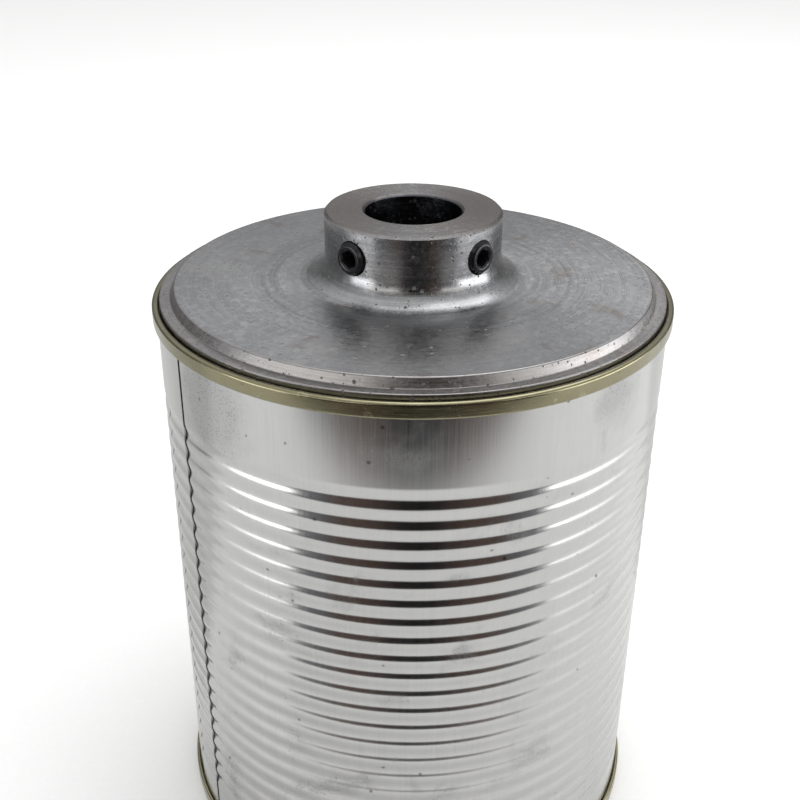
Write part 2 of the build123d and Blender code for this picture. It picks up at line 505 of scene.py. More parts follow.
# %% Gold lacquer
def make_gold_lacquer():
    material, tree, shader = new_material("gold_lacquer")
    here = tree.here()
    grain = effect(tree, round_grain, {
        "Lines round": 60.0, "Lines up per metre": 5000.0, "Lines out per metre": 5000.0, "Detail": 3.0,
    })
    tone = patches(tree, here, 45.0, 0.42, 0.3, 1.0)
    rub = patches(tree, here, 240.0, 0.60, 0.12, 5.0)
    dirt = spots(tree, here, 700.0, 0.25, 0.12)
    gold = blend(tree, tone["Mask"], (0.215, 0.20, 0.125, 1), (0.30, 0.283, 0.185, 1))
    rubbed = blend(tree, tree.times(rub["Mask"], 0.6), gold, (0.42, 0.40, 0.29, 1))
    dirty = blend(tree, tree.times(dirt["Mask"], 0.6), rubbed, (0.12, 0.10, 0.07, 1))
    tree.feed(shader["Base Color"], dirty)
    shader["Metallic"].default_value = 1.0
    rough = tree.scaled(tree.span(grain["Value"], 0.35, 0.65), 0.08, 0.20)
    tree.feed(shader["Roughness"], tree.scaled(rub["Mask"], 0.1, rough))
    shader["Coat Weight"].default_value = 0.12
    shader["Coat Roughness"].default_value = 0.12
    tree.feed(shader["Normal"], bumped(tree, grain["Value"], 0.02 * MM, 0.4))
    return material


gold_lacquer = make_gold_lacquer()
print("made", gold_lacquer.name)

# %% [markdown]
# ### Turned steel
# The chuck is tool steel straight from the lathe, used and put away oily. The tool leaves rings about
# the axis, on the flats as circles and on the walls as fine lines round them. Such rings stretch every
# highlight one way, so the gloss is anisotropic. Its tangent runs round the axis on the plate, outwards
# and up on the hub, and changes over at the fillet. Handling and damp leave grey-blue and brown tones,
# a few rusty spots, and small dark pits, thickest where hands and tools reach most. The bore is painted
# near black, as painted shade in the deep hole. The hub's top has its own brown patina, with painted
# shade added towards its left and right, so that its front stays brighter. Each zone is a span of radius
# or height, in metres, over which its mask comes in or goes out.

# %% Turned steel
plate_inner_zone = (0.030, 0.035)
plate_edge_zone = (0.0467, 0.0472)
hub_top_zone = (0.1346, 0.1351)
hub_zone = (0.0195, 0.0235)
bore_shade_zone = (0.0096, 0.0101)


def make_turned_steel():
    material, tree, shader = new_material("turned_steel")
    here = tree.here()
    level = tree.apart(here)[2]
    fine = effect(tree, round_grain, {
        "Lines round": 5.0, "Lines up per metre": 5200.0, "Lines out per metre": 5200.0, "Detail": 2.0,
    })
    broad = effect(tree, round_grain, {
        "Lines round": 2.5, "Lines up per metre": 1500.0, "Lines out per metre": 1500.0, "Detail": 4.0,
    })
    tone = patches(tree, here, 38.0, 0.40, 0.3, 2.0)
    mottle = patches(tree, here, 900.0, 0.46, 0.2, 9.0)
    stain = patches(tree, here, 95.0, 0.585, 0.08, 6.0)
    rust = patches(tree, here, 330.0, 0.655, 0.06, 4.0)
    pits = spots(tree, here, 620.0, 0.28, 0.22)
    dots = spots(tree, here, 1150.0, 0.36, 0.42)
    side = tree.apart(fine["Cylinder"])

    on_inner_plate = tree.span(fine["Radius"], *plate_inner_zone, 1.0, 0.0)
    on_edge = tree.span(fine["Radius"], *plate_edge_zone)
    on_hub_top = tree.span(level, *hub_top_zone)
    near_hub = tree.span(fine["Radius"], *hub_zone, 1.0, 0.0, smooth=True)
    # Painted shade: the mask of the bore, used below to take its colour almost to black.
    bore_shade = tree.span(fine["Radius"], *bore_shade_zone, 1.0, 0.0)
    handled = tree.most(tree.most(on_edge, on_hub_top), near_hub)

    steel = blend(tree, tone["Mask"], (0.29, 0.295, 0.305, 1), (0.365, 0.365, 0.37, 1))
    line = tree.times(tree.span(broad["Value"], 0.42, 0.66), tree.scaled(on_inner_plate, 0.6, 0.15))
    ringed = blend(tree, line, steel, (0.19, 0.192, 0.20, 1))
    spotted = blend(tree, tree.times(mottle["Mask"], 0.35), ringed, (0.42, 0.42, 0.42, 1))
    # Brown on the hub's top: a base share is its own brown patina, and the share that grows towards the left
    # and right is painted shade, which leaves the front of the top brighter.
    browned_and_side_shade = tree.times(on_hub_top, tree.scaled(tree.sum("ABSOLUTE", side[0]), 0.6, 0.25))
    tanned_and_side_shaded = blend(tree, tree.most(browned_and_side_shade, tree.times(on_edge, 0.35)), spotted, (0.185, 0.155, 0.138, 1))
    stained = blend(tree, tree.times(stain["Mask"], 0.5), tanned_and_side_shaded, (0.20, 0.165, 0.14, 1))
    rusted = blend(tree, tree.times(rust["Mask"], 0.8), stained, (0.21, 0.10, 0.05, 1))
    peppered = tree.times(dots["Mask"], tree.scaled(handled, 0.7, 0.10))
    holes = tree.most(tree.times(pits["Mask"], 0.75), peppered)
    pitted = blend(tree, holes, rusted, (0.05, 0.042, 0.036, 1))
    # Painted shade: the bore is coloured near black, as a deep hole looks.
    tree.feed(shader["Base Color"], blend(tree, tree.times(bore_shade, 0.85), pitted, (0.03, 0.034, 0.045, 1)))

    dull = tree.most(tree.most(rust["Mask"], pits["Mask"]), peppered)
    tree.feed(shader["Metallic"], tree.scaled(dull, -0.7, 1.0))
    satin = tree.scaled(near_hub, -0.05, 0.24)
    rough = tree.scaled(tree.span(fine["Value"], 0.3, 0.7), 0.10, satin)
    worn = tree.scaled(mottle["Mask"], 0.08, rough)
    tree.feed(shader["Roughness"], tree.scaled(dull, 0.35, worn))
    ridges = bumped(tree, fine["Value"], 0.02 * MM, 0.4)
    furrows = bumped(tree, tree.times(broad["Value"], on_inner_plate), 0.04 * MM, 0.4, ridges)
    orange_peel = bumped(tree, mottle["Value"], 0.03 * MM, 0.5, furrows)
    tree.feed(shader["Normal"], bumped(tree, tree.times(dull, -1.0), 0.08 * MM, 0.6, orange_peel))
    shader["Anisotropic"].default_value = 0.65
    round_axis = tree.add("ShaderNodeTangent", direction_type="RADIAL", axis="Z").outputs[0]
    outward = tree.vector(side[0], side[1], 1.0)
    stretch = tree.add("ShaderNodeMix", {0: near_hub, 4: round_axis, 5: outward}, data_type="VECTOR")
    tree.feed(shader["Tangent"], stretch.outputs[1])
    return material


turned_steel = make_turned_steel()
print("made", turned_steel.name)

# %% [markdown]
# ### Black oxide
# The screws are blackened alloy steel, oiled: nearly black, with a satin gloss, and rubbed back to
# grey where a key or the bore has worn them.

# %% Black oxide
def make_black_oxide():
    material, tree, shader = new_material("black_oxide")
    here = tree.here()
    wear = patches(tree, here, 700.0, 0.58, 0.12, 2.0)
    dust = spots(tree, here, 1500.0, 0.25, 0.2)
    black = blend(tree, tree.times(wear["Mask"], 0.5), (0.022, 0.022, 0.025, 1), (0.15, 0.145, 0.14, 1))
    dusty = blend(tree, tree.times(dust["Mask"], 0.4), black, (0.20, 0.17, 0.14, 1))
    tree.feed(shader["Base Color"], dusty)
    shader["Metallic"].default_value = 0.6
    tree.feed(shader["Roughness"], tree.scaled(wear["Value"], 0.25, 0.12))
    tree.feed(shader["Normal"], bumped(tree, wear["Value"], 0.04 * MM, 0.5))
    return material


black_oxide = make_black_oxide()
print("made", black_oxide.name)

# %% [markdown]
# ### Sealing compound
# A matt rubbery paste, dried under the crest of each seam. It is out of sight, and it gets its finish
# all the same.

# %% Sealing compound
def make_sealing_compound():
    material, tree, shader = new_material("sealing_compound")
    here = tree.here()
    lumps = patches(tree, here, 900.0, 0.45, 0.3, 9.0)
    paste = blend(tree, lumps["Mask"], (0.40, 0.36, 0.31, 1), (0.50, 0.46, 0.40, 1))
    tree.feed(shader["Base Color"], paste)
    tree.feed(shader["Roughness"], tree.scaled(lumps["Value"], 0.3, 0.55))
    tree.feed(shader["Normal"], bumped(tree, lumps["Value"], 0.05 * MM, 0.5))
    return material


sealing_compound = make_sealing_compound()
print("made", sealing_compound.name)

# %% [markdown]
# ## Can body
# The body is rolled sheet, plain near both seams and beaded between them: 22 shallow grooves, rounded
# and narrower than the ribs between them, that stiffen the wall. Its shape follows a rule, so it is a
# Geometry Nodes tree. A flat grid is wrapped round the axis: one side of the grid runs round the can,
# the other up the outer wall and down the inner one. The grooves are a raised cosine of the height that
# goes in slowly and comes out faster. The same tree makes the lapped strip of the side seam: a narrow
# arc of wall, slightly proud, whose edge columns drop to the wall beneath.

# %% End of a geometry tree
def end_tree(tree, result, geometry, position, material, merge=None):
    """Move the points, merge them if asked, make instances real and set the material."""
    moved = tree.add("GeometryNodeSetPosition", {"Geometry": geometry, "Position": position})
    if merge is not None:
        moved = tree.add("GeometryNodeMergeByDistance", {"Geometry": moved.outputs[0], "Distance": merge})
    real = tree.add("GeometryNodeRealizeInstances", {0: moved.outputs[0]})
    coloured = tree.add("GeometryNodeSetMaterial", {"Geometry": real.outputs[0], "Material": material})
    tree.feed(result["Geometry"], coloured.outputs[0])


# %% Beaded wall tree
def make_beaded_wall_tree():
    group, tree, given, result = new_group(
        "Beaded wall",
        "GeometryNodeTree",
        {
            "Wall radius": 0.05,
            "Foot": 0.0,
            "Head": 0.1,
            "Bead top": 0.09,
            "Bead pitch": 0.004,
            "Beads": 22.0,
            "Bead depth": 0.0003,
            "Root at": 0.6,
            "Wall": 0.0005,
            "Arc start": 0.0,
            "Arc": 6.2832,
            "Edge drop": 0.0,
            "Columns": 194,
            "Rows": 300,
            "Material": "Material",
        },
        {"Geometry": "Geometry"},
    )
    last_row = tree.plus(given["Rows"], 2)
    grid = tree.add(
        "GeometryNodeMeshGrid",
        {
            "Size X": 1.0,
            "Size Y": 1.0,
            "Vertices X": tree.plus(given["Columns"], 1),
            "Vertices Y": tree.plus(given["Rows"], 3),
        },
    )
    place = tree.apart(tree.add("GeometryNodeInputPosition").outputs[0])
    across = tree.times(tree.plus(place[0], 0.5), given["Columns"])
    column = tree.sum("ROUND", across)
    up = tree.times(tree.plus(place[1], 0.5), last_row)
    row = tree.sum("FLOORED_MODULO", tree.sum("ROUND", up), last_row)

    last_outer = tree.minus(given["Rows"], 1)
    is_inner = tree.sum("GREATER_THAN", row, tree.plus(last_outer, 0.5))
    outer_height = tree.span(row, 0.0, last_outer, given["Foot"], given["Head"])
    inner_height = tree.span(row, given["Rows"], tree.plus(given["Rows"], 1), given["Head"], given["Foot"])
    rise = tree.times(is_inner, tree.minus(inner_height, outer_height))
    height = tree.plus(outer_height, rise)

    fall = tree.over(tree.minus(given["Bead top"], height), given["Bead pitch"])
    share = tree.sum("FRACT", tree.least(tree.most(fall, 0.0), given["Beads"]))
    going_in = tree.over(tree.times(share, 0.5), given["Root at"])
    rest = tree.over(tree.minus(1.0, share), tree.minus(1.0, given["Root at"]))
    coming_out = tree.scaled(rest, -0.5, 1.0)
    wave = tree.sum("COSINE", tree.times(tree.most(going_in, coming_out), 2 * pi))
    groove = tree.times(tree.minus(1.0, wave), 0.5)
    outer_radius = tree.minus(given["Wall radius"], tree.times(groove, given["Bead depth"]))
    last_column = tree.minus(given["Columns"], 0.5)
    at_start = tree.sum("LESS_THAN", column, 0.5)
    at_edge = tree.most(at_start, tree.sum("GREATER_THAN", column, last_column))
    dropped = tree.minus(outer_radius, tree.times(at_edge, given["Edge drop"]))
    inner_radius = tree.minus(given["Wall radius"], given["Wall"])
    step_in = tree.times(is_inner, tree.minus(inner_radius, dropped))
    radius = tree.plus(dropped, step_in)

    inner_column = tree.minus(given["Columns"], 2)
    arc_share = tree.span(tree.minus(column, 1), 0.0, inner_column)
    azimuth = tree.scaled(arc_share, given["Arc"], given["Arc start"])
    east = tree.times(radius, tree.sum("SINE", azimuth))
    south = tree.times(radius, tree.sum("COSINE", azimuth))
    north = tree.times(south, -1.0)
    end_tree(tree, result, grid.outputs[0], tree.vector(east, north, height), given["Material"], 1e-6)
    return group


beaded_wall_tree = make_beaded_wall_tree()
print("beaded wall tree:", len(beaded_wall_tree.nodes), "nodes")


# %% Grow a tree into a plain mesh
def grown(group, values):
    """Run a geometry tree with the given inputs and return its result as a bmesh."""
    seed = bpy.data.objects.new("seed", bpy.data.meshes.new("seed"))
    bpy.context.scene.collection.objects.link(seed)
    modifier = seed.modifiers.new("grow", "NODES")
    modifier.node_group = group
    for item in group.interface.items_tree:
        if item.in_out == "INPUT" and item.name in values:
            modifier[item.identifier] = values[item.name]
    evaluated = seed.evaluated_get(bpy.context.evaluated_depsgraph_get())
    mesh = bpy.data.meshes.new_from_object(evaluated)
    skin = bmesh.new()
    skin.from_mesh(mesh)
    seed.modifiers.remove(modifier)
    bpy.data.objects.remove(seed)
    bpy.data.meshes.remove(mesh)
    return skin


# %% Can body and side seam
wall_foot = 1.2 * MM
side_seam_width = 10.6 * MM
side_seam_rise = 0.12 * MM
strip_end_gap = 0.4 * MM
strip_overlap = 0.05 * MM

wall_sizes = {
    "Wall radius": body_radius,
    "Foot": wall_foot,
    "Head": can_top - wall_foot,
    "Bead top": can_top - plain_band,
    "Bead pitch": bead_pitch,
    "Beads": float(bead_count),
    "Bead depth": bead_depth,
    "Root at": 0.6,
    "Wall": bead_depth + body_sheet,
    "Arc start": pi,
    "Arc": 2 * pi,
    "Edge drop": 0.0,
    "Columns": AROUND + 2,
    "Rows": 420,
    "Material": tinplate,
}
wall_skin = grown(beaded_wall_tree, wall_sizes)
finished("can_wall", wall_skin, tinplate, "can", ["can_body"])

strip_radius = body_radius + side_seam_rise
strip_arc = side_seam_width / strip_radius
strip_sizes = dict(wall_sizes)
strip_sizes.update({
    "Wall radius": strip_radius,
    "Foot": seam_length + strip_end_gap,
    "Head": can_top - seam_length - strip_end_gap,
    "Wall": bead_depth + side_seam_rise + strip_overlap,
    "Arc start": seam_azimuth - strip_arc / 2,
    "Arc": strip_arc,
    "Edge drop": side_seam_rise + strip_overlap,
    "Columns": 14,
})
finished("side_seam", grown(beaded_wall_tree, strip_sizes), tinplate, "can")

# %% [markdown]
# ## Can ends
# Each end is one pressed sheet. From the middle out: two panels, each a step lower, the flat floor of
# the countersink, the chuck wall that rises out of it, the crest, and the wall that the seaming rolls
# folded under the body. The section is drawn along the middle of the sheet, thickened and turned.

# %% End section
countersink_depth = 4.2 * MM
panel_step = 0.55 * MM
panel_slope = 1.1 * MM
inner_panel_edge = 30.0 * MM
outer_panel_edge = 42.4 * MM
hook_end = 1.25 * MM
panel_bend = 0.5 * MM
countersink_bend = 0.6 * MM
crest_bend = 0.45 * MM


def end_section(level, inwards):
    """Section of one end; depths are from the crest of its seam into the can."""
    middle = end_sheet / 2
    floor = countersink_depth + middle
    outer_panel = floor - panel_step
    inner_panel = outer_panel - panel_step
    stops = [
        (0, inner_panel),
        (inner_panel_edge, inner_panel),
        (inner_panel_edge + panel_slope, outer_panel),
        (outer_panel_edge, outer_panel),
        (outer_panel_edge + panel_slope, floor),
        (chuck_wall, floor),
        (chuck_wall, middle),
        (seam_wall, middle),
        (seam_wall, seam_length - middle),
        (cover_hook, seam_length - middle),
        (cover_hook, hook_end),
    ]
    hook_bend = (seam_wall - cover_hook) / 2 - HOLD * 1.5
    bends = [panel_bend] * 4 + [countersink_bend] + [crest_bend] * 2 + [hook_bend] * 2
    points = thickened(bent(stops, bends), end_sheet)
    section = [(max(point.x, 0), level + inwards * point.y) for point in points]
    return section + section[:1]


def make_end(name, level, inwards, node):
    skin = bmesh.new()
    add_lathe(skin, end_section(level, inwards))
    finished(name, skin, gold_lacquer, "can", [node])


make_end("top_end_sheet", can_top, -1, "top_end")
make_end("bottom_end_sheet", 0, 1, "bottom_end")

for node in ("top_sealing_compound", "bottom_sealing_compound"):
    for material_slot in frame["nodes"][node].material_slots:
        material_slot.material = sealing_compound
print("sealing compound stays as its solids")

# %% [markdown]
# ## Seaming chuck
# The chuck is one turned piece. Most of it is a lathe section, but the hub and the bore are pierced by
# the two screw holes. A boolean would leave long thin faces that spoil the reflections, so the hub's
# wall is unrolled flat, filled with small triangles round the holes, and rolled up again. Every point
# of it then lies on the true surface. The holes' own walls join the hub's loop to the bore's.

# %% Chuck section
hub_fillet = 5.0 * MM
plate_level = can_top + 2.7 * MM
ledge_level = can_top + 0.9 * MM
plate_radius = 47.2 * MM
lip_radius = chuck_wall - end_sheet / 2 - 0.10 * MM
chuck_foot = chuck_low[2]
underside = chuck_foot + 1.6 * MM
chamfer = 0.5 * MM
wall_low = plate_level + 3.6 * MM
wall_high = hub_top - chamfer
bore_low = underside + chamfer
plate_flare = 0.8 * MM
lip_round = 0.9 * MM
lip_slope = radians(1.2)
foot_width = 4.4 * MM
relief_slope = 0.6 * MM
fillet_steps = 14


def hub_wall_radius(height):
    """Radius of the hub's outside: plain above, spreading into the fillet below."""
    below = plate_level + hub_fillet - height
    if below <= 0:
        return hub_radius
    return hub_radius + hub_fillet - sqrt(hub_fillet ** 2 - below ** 2)


def chuck_sections():
    """The two lathe sections between the pierced walls: over the hub's top, and round the plate."""
    top = [
        (bore_radius, wall_high),
        (bore_radius + chamfer, hub_top),
        (hub_radius - chamfer, hub_top),
        (hub_radius, wall_high),
    ]
    fillet_turn = acos(1 - (hub_wall_radius(wall_low) - hub_radius) / hub_fillet)
    fillet = []
    for step in range(fillet_steps + 1):
        turn = fillet_turn + (pi / 2 - fillet_turn) * step / fillet_steps
        reach = hub_fillet * (1 - cos(turn))
        fillet.append((hub_radius + reach, plate_level + hub_fillet * (1 - sin(turn))))
    lip_foot = lip_radius - (ledge_level - chuck_foot - lip_round) * tan(lip_slope)
    foot_radius = lip_foot - lip_round
    relief = foot_radius - foot_width
    stops = [
        (hub_radius + hub_fillet, plate_level),
        (plate_radius, plate_level),
        (plate_radius + plate_flare, ledge_level),
        (lip_radius, ledge_level),
        (lip_foot, chuck_foot + lip_round),
        (foot_radius, chuck_foot),
        (relief, chuck_foot),
        (relief - relief_slope, underside),
        (bore_radius + chamfer, underside),
        (bore_radius, bore_low),
    ]
    bends = [0.35 * MM, 0.12 * MM, 0.2 * MM, 0.2 * MM, 0.2 * MM, 0.2 * MM, 0, 0]
    plate = [tuple(point) for point in bent(stops, bends)]
    held = (hub_radius + hub_fillet + HOLD, plate_level)
    return top, fillet + [held] + plate[1:]


# %% Pierced walls
hole_radius = 3.225 * MM
hole_mouth = 3.4 * MM
HOLE_STEPS = 48
HOLE_MARGIN = 0.12 * MM
HOLE_COUNTERSINK = 0.2 * MM


def hole_loop(azimuth, wall_radius_at, radius):
    """The line where a screw hole of this radius meets a wall of revolution, as (azimuth, height)."""
    loop = []
    for step in range(HOLE_STEPS):
        turn = 2 * pi * step / HOLE_STEPS
        height = screw_level + radius * sin(turn)
        loop.append((azimuth + asin(radius * cos(turn) / wall_radius_at(height)), height))
    return loop


def add_pierced_wall(skin, wall_radius_at, low, high, azimuths, radius, rows):
    """Fill a wall of revolution with small triangles, open at the screw holes."""
    girth = wall_radius_at(high)
    flat = [Vector((pi * (2 * k / AROUND - 1) * girth, low + (high - low) * row / rows))
            for row in range(rows + 1) for k in range(AROUND + 1)]

    def clear(point, margin):
        for azimuth in azimuths:
            sideways = girth * sin(point.x / girth - azimuth)
            facing = cos(point.x / girth - azimuth) > 0
            if facing and sideways ** 2 + (point.y - screw_level) ** 2 < (radius + margin) ** 2:
                return False
        return True

    edge_rows = (low, high)
    points = [point for point in flat if point.y in edge_rows or clear(point, HOLE_MARGIN)]
    edges = []
    for azimuth in azimuths:
        first = len(points)
        loop = hole_loop(azimuth, wall_radius_at, radius)
        points += [Vector((angle * girth, height)) for angle, height in loop]
        edges += [(first + step, first + (step + 1) % HOLE_STEPS) for step in range(HOLE_STEPS)]
    places, _, triangles, *_ = delaunay_2d_cdt(points, edges, [], 0, 1e-9)
    rolled = [ring_point(wall_radius_at(place.y), place.x / girth, place.y) for place in places]
    made = [skin.verts.new(point) for point in rolled]
    for triangle in triangles:
        middle = sum((places[corner] for corner in triangle), Vector((0, 0))) / 3
        if clear(middle, 0):
            skin.faces.new([made[corner] for corner in triangle])


def add_hole_wall(skin, azimuth):
    """Wall of one screw hole, from its small countersink at the hub through to the bore."""
    loops = [
        (hub_wall_radius, hole_mouth),
        (lambda height: hub_wall_radius(height) - HOLE_COUNTERSINK, hole_radius),
        (lambda height: bore_radius, hole_radius),
    ]
    rings = []
    for radius_at, radius in loops:
        ring = hole_loop(azimuth, radius_at, radius)
        points = [ring_point(radius_at(height), angle, height) for angle, height in ring]
        rings.append([skin.verts.new(point) for point in points])
    for outer, inner in zip(rings, rings[1:]):
        for step in range(HOLE_STEPS):
            after = (step + 1) % HOLE_STEPS
            skin.faces.new((outer[step], outer[after], inner[after], inner[step]))


# %% Build the chuck
screw_azimuths = {}
for screw in ("left", "right"):
    east, south = joints[f"{screw}_screw_travel"]["axis"][:2]
    screw_azimuths[screw] = atan2(east, -south)
print("screw azimuths", {screw: round(angle * 180 / pi, 1) for screw, angle in screw_azimuths.items()})

chuck_skin = bmesh.new()
top_section, plate_section = chuck_sections()
add_lathe(chuck_skin, top_section)
add_lathe(chuck_skin, plate_section)
pierced = list(screw_azimuths.values())
add_pierced_wall(chuck_skin, hub_wall_radius, wall_low, wall_high, pierced, hole_mouth, 24)
add_pierced_wall(chuck_skin, lambda height: bore_radius, bore_low, wall_high, pierced, hole_radius, 36)
for azimuth in pierced:
    add_hole_wall(chuck_skin, azimuth)
finished("seaming_chuck_turned", chuck_skin, turned_steel, "chuck", ["seaming_chuck"])

# %% [markdown]
# ## Set screws
# A socket set screw is a headless threaded rod: hexagon socket in the outer end, cup point on the inner
# one. The thread follows a helix, so a tree sweeps a trapezoid along a spiral and then trims it to the
# chamfers at both ends by scaling any point that stands out past them.

# %% Thread tree
screw_radius = 3.175 * MM
screw_length = 7.94 * MM
screw_pitch = 1.27 * MM
thread_depth = 0.62 * MM
screw_end_radius = 2.7 * MM
screw_core = screw_radius - thread_depth


def make_thread_tree():
    group, tree, given, result = new_group(
        "Screw thread",
        "GeometryNodeTree",
        {
            "Core radius": 0.0025,
            "Pitch": 0.00127,
            "Length": 0.008,
            "Thread height": 0.0006,
            "End radius": 0.0027,
            "Steps per turn": 40,
            "Material": "Material",
        },
        {"Geometry": "Geometry"},
    )
    turns = tree.over(given["Length"], given["Pitch"])
    middle = tree.scaled(given["Thread height"], 0.5, given["Core radius"])
    helix = tree.add(
        "GeometryNodeCurveSpiral",
        {
            "Resolution": given["Steps per turn"],
            "Rotations": turns,
            "Start Radius": middle,
            "End Radius": middle,
            "Height": tree.times(given["Length"], -1.0),
        },
    )
    upright = tree.add("GeometryNodeSetCurveNormal", {"Curve": helix.outputs[0]}, mode="Z_UP")
    tooth = tree.add(
        "GeometryNodeCurvePrimitiveQuadrilateral",
        {
            "Height": given["Thread height"],
            "Bottom Width": tree.times(given["Pitch"], 0.86),
            "Top Width": tree.times(given["Pitch"], 0.16),
            "Offset": 0.0,
        },
        mode="TRAPEZOID",
    )
    lifted = tree.add("GeometryNodeTransform", {"Geometry": tooth.outputs[0], "Rotation": (0, 0, pi / 2)})
    swept = tree.add(
        "GeometryNodeCurveToMesh",
        {"Curve": upright.outputs[0], "Profile Curve": lifted.outputs[0], "Fill Caps": True},
    )
    part = tree.apart(tree.add("GeometryNodeInputPosition").outputs[0])
    flat = tree.vector(part[0], part[1], 0.0)
    reach = tree.add("ShaderNodeVectorMath", {0: flat}, operation="LENGTH").outputs["Value"]
    from_outer = tree.most(tree.times(part[2], -1.0), 0.0)
    from_inner = tree.most(tree.plus(given["Length"], part[2]), 0.0)
    nearest_end = tree.least(from_outer, from_inner)
    allowed = tree.plus(given["End radius"], nearest_end)
    shrink = tree.least(tree.over(allowed, reach), 1.0)
    height = tree.most(tree.least(part[2], 0.0), tree.times(given["Length"], -1.0))
    trimmed = tree.vector(tree.times(part[0], shrink), tree.times(part[1], shrink), height)
    end_tree(tree, result, swept.outputs[0], trimmed, given["Material"])
    print("thread tree:", len(group.nodes), "nodes")
    return group


thread_tree = make_thread_tree()

# %% Set screw core, socket and point
SOCKET_STEPS = 48


def hexagon_radius(turn, across_flats):
    """Distance from the middle to the side of a hexagon, in the direction turn."""
    return across_flats / 2 / cos((turn + pi / 6) % (pi / 3) - pi / 6)


def add_rings(skin, rings):
    """Skin a stack of rings; a ring is (radius at a turn, height)."""
    made = []
    for radius_at, height in rings:
        if radius_at is None:
            made.append([skin.verts.new((0, 0, height))] * SOCKET_STEPS)
            continue
        ring = []
        for step in range(SOCKET_STEPS):
            turn = 2 * pi * step / SOCKET_STEPS
            ring.append(skin.verts.new((radius_at(turn) * cos(turn), radius_at(turn) * sin(turn), height)))
        made.append(ring)
    for low, high in zip(made, made[1:]):
        for step in range(SOCKET_STEPS):
            after = (step + 1) % SOCKET_STEPS
            corners = list(dict.fromkeys([low[step], low[after], high[after], high[step]]))
            if len(corners) > 2:
                skin.faces.new(corners)


def round_ring(radius):
    return lambda turn: radius


def hexagon_ring(across_flats):
    return lambda turn: hexagon_radius(turn, across_flats)


# %% Set screws
socket_flats = 3.175 * MM
socket_depth = 3.2 * MM
socket_cone = 0.7 * MM
mouth_depth = 0.12 * MM
end_chamfer = 0.3 * MM
point_chamfer = 0.6 * MM
cup_radius = 1.6 * MM
cup_rim = 2.0 * MM
cup_depth = 0.8 * MM
thread_runout = 0.35 * MM
stand_out = {"left": hub_radius + 1.0 * MM, "right": hub_radius + 0.7 * MM}


def screw_core_rings():
    """Rings from the bottom of the socket, over the outer end and down the core, to the cup point."""
    corner = socket_flats / sqrt(3)
    return [
        (None, -socket_depth - socket_cone),
        (hexagon_ring(socket_flats), -socket_depth),
        (hexagon_ring(socket_flats), -end_chamfer),
        (round_ring(corner * 1.02), -mouth_depth),
        (round_ring(corner * 1.12), 0),
        (round_ring(screw_end_radius - mouth_depth), 0),
        (round_ring(screw_end_radius), -mouth_depth / 2),
        (round_ring(screw_core), -end_chamfer),
        (round_ring(screw_core), -screw_length + point_chamfer),
        (round_ring(cup_rim), -screw_length),
        (round_ring(cup_radius), -screw_length),
        (None, -screw_length + cup_depth),
    ]


def make_set_screw(side):
    """One set screw, drawn along -Z from its outer end, then laid on its own axis."""
    core = bmesh.new()
    add_rings(core, screw_core_rings())
    bmesh.ops.recalc_face_normals(core, faces=core.faces)
    thread = grown(thread_tree, {
        "Core radius": screw_core,
        "Pitch": screw_pitch,
        "Length": screw_length - thread_runout,
        "Thread height": thread_depth,
        "End radius": screw_end_radius,
        "Steps per turn": 40,
        "Material": black_oxide,
    })
    reach = max(sqrt(vertex.co.x ** 2 + vertex.co.y ** 2) for vertex in thread.verts)
    heights = [vertex.co.z for vertex in thread.verts]
    length = max(heights) - min(heights)
    print(side, "thread radius", round(reach / MM, 3), "and length", round(length / MM, 2))
    thread_mesh = bpy.data.meshes.new("thread")
    thread.to_mesh(thread_mesh)
    thread.free()
    core.from_mesh(thread_mesh)
    bpy.data.meshes.remove(thread_mesh)
    azimuth = screw_azimuths[side]
    outwards = Vector((sin(azimuth), -cos(azimuth), 0))
    across = Vector((-cos(azimuth), -sin(azimuth), 0))
    turned = Matrix((across, Vector((0, 0, 1)), outwards)).transposed().to_4x4()
    place = Matrix.Translation(outwards * stand_out[side] + Vector((0, 0, screw_level))) @ turned
    bmesh.ops.transform(core, matrix=place, verts=core.verts)
    node = f"{side}_set_screw"
    finished(f"{node}_threaded", core, black_oxide, f"{side}_screw", [node])


for side in ("left", "right"):
    make_set_screw(side)

# %% [markdown]
# ## Studio
# The can stands on a plain white floor under an even white sky, which gives a soft contact shadow. What
# bright metal shows is its surroundings, so what stands round the can matters as much as the lights. The
# floor is a disc with a faint paper tone.

# %% Floor
def staged(name, skin, material, only_reflected=False):
    """Make a studio object of a skin, seen by everything or only in reflections."""
    mesh = bpy.data.meshes.new(name)
    skin.to_mesh(mesh)
    skin.free()
    mesh.materials.append(material)
    thing = bpy.data.objects.new(name, mesh)
    bpy.context.scene.collection.objects.link(thing)
    if only_reflected:
        thing.visible_camera = False
        thing.visible_diffuse = False
        thing.visible_shadow = False
        thing.visible_transmission = False
    print("staged", name, len(mesh.polygons), "faces")


def make_floor():
    material, tree, shader = new_material("studio_floor")
    paper = patches(tree, tree.here(), 900.0, 0.4, 0.3, 1.0)
    tone = blend(tree, paper["Mask"], (0.90, 0.90, 0.90, 1), (0.92, 0.92, 0.92, 1))
    tree.feed(shader["Base Color"], tone)
    shader["Roughness"].default_value = 0.8
    skin = bmesh.new()
    bmesh.ops.create_circle(skin, cap_ends=True, radius=4.0, segments=64)
    staged("floor", skin, material)


make_floor()

# %% [markdown]
# ### What the metal reflects
# Three curved cards stand in for the room: a dark one in front of the can, and a grey corner on each
# side behind it. Real lamps and flags would also shade the floor, so the cards are seen in reflections
# alone: they cast no shadow and the camera doesn't see them. Each glows by its own colour, has a strip
# on the floor for what the beads mirror from below, and is made fainter there or at its edges by alpha.

# %% Curved cards
def glowing_material(name):
    """A card's material, with its glow still to be set: black, and without a gloss of its own."""
    material, tree, shader = new_material(name)
    tree.feed(shader["Base Color"], (0, 0, 0, 1))
    shader["Emission Strength"].default_value = 1.0
    shader["Specular IOR Level"].default_value = 0.0
    return material, tree, shader


